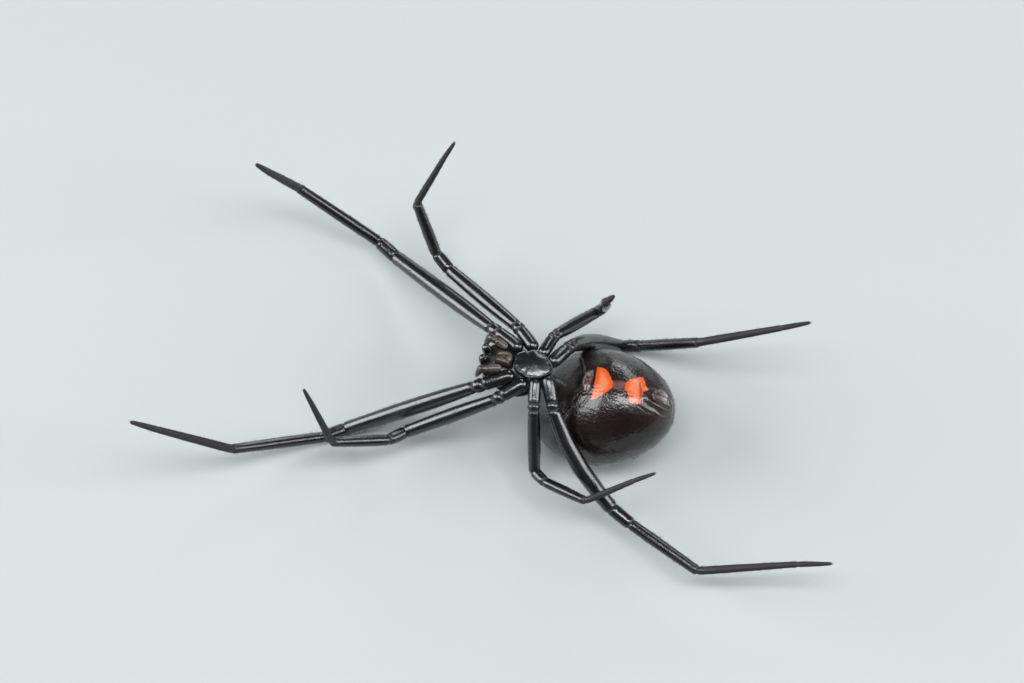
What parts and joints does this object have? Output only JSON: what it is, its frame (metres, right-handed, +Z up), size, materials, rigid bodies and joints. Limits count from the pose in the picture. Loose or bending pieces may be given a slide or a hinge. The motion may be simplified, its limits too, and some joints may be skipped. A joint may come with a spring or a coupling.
{
  "type": "black widow spider",
  "caption": "Adult female black widow spider, life size, lying belly up with its legs held as in its web; a still museum model.",
  "frame": {"origin": "middle of the flat on which the back of the abdomen rests, on the floor", "axes": "+X towards the tail, +Y towards the spider's own left, +Z up, which is its belly side as it lies on its back"},
  "size_m": [0.0347, 0.0181, 0.0118],
  "materials": {
    "cuticle": "glossy black cuticle with sparse short bristles",
    "abdomen": "glossy brown-black skin with an orange-red hourglass mark on the belly",
    "mouthparts": "satin dark brown cuticle with paler edges",
    "spinnerets": "satin brown-grey, finely haired",
    "eye": "clear glossy black lens"
  },
  "bodies": {
    "root": {"abdomen": "abdomen", "spinnerets": "spinnerets", "pedicel": "cuticle", "cephalothorax": "cuticle", "sternum": "cuticle", "mouthparts": "mouthparts", "chelicera_L": "cuticle", "palp_L": "cuticle", "palp_L_tip": "cuticle", "chelicera_R": "cuticle", "palp_R": "cuticle", "palp_R_tip": "cuticle", "eye_front_median_L": "eye", "eye_front_median_R": "eye", "eye_front_lateral_L": "eye", "eye_front_lateral_R": "eye", "eye_rear_median_L": "eye", "eye_rear_median_R": "eye", "eye_rear_lateral_L": "eye", "eye_rear_lateral_R": "eye", "leg_L1_coxa": "cuticle", "leg_L1_femur": "cuticle", "leg_L1_patella": "cuticle", "leg_L1_tibia": "cuticle", "leg_L1_foot": "cuticle", "leg_L2_coxa": "cuticle", "leg_L2_femur": "cuticle", "leg_L2_patella": "cuticle", "leg_L2_tibia": "cuticle", "leg_L2_foot": "cuticle", "leg_L3_coxa": "cuticle", "leg_L3_femur": "cuticle", "leg_L3_patella": "cuticle", "leg_L3_tibia": "cuticle", "leg_L3_foot": "cuticle", "leg_L4_coxa": "cuticle", "leg_L4_femur": "cuticle", "leg_L4_patella": "cuticle", "leg_L4_tibia": "cuticle", "leg_L4_foot": "cuticle", "leg_R1_coxa": "cuticle", "leg_R1_femur": "cuticle", "leg_R1_patella": "cuticle", "leg_R1_tibia": "cuticle", "leg_R1_foot": "cuticle", "leg_R2_coxa": "cuticle", "leg_R2_femur": "cuticle", "leg_R2_patella": "cuticle", "leg_R2_tibia": "cuticle", "leg_R2_foot": "cuticle", "leg_R3_coxa": "cuticle", "leg_R3_femur": "cuticle", "leg_R3_patella": "cuticle", "leg_R3_tibia": "cuticle", "leg_R3_foot": "cuticle", "leg_R4_coxa": "cuticle", "leg_R4_femur": "cuticle", "leg_R4_patella": "cuticle", "leg_R4_tibia": "cuticle", "leg_R4_foot": "cuticle"}
  },
  "joints": []
}
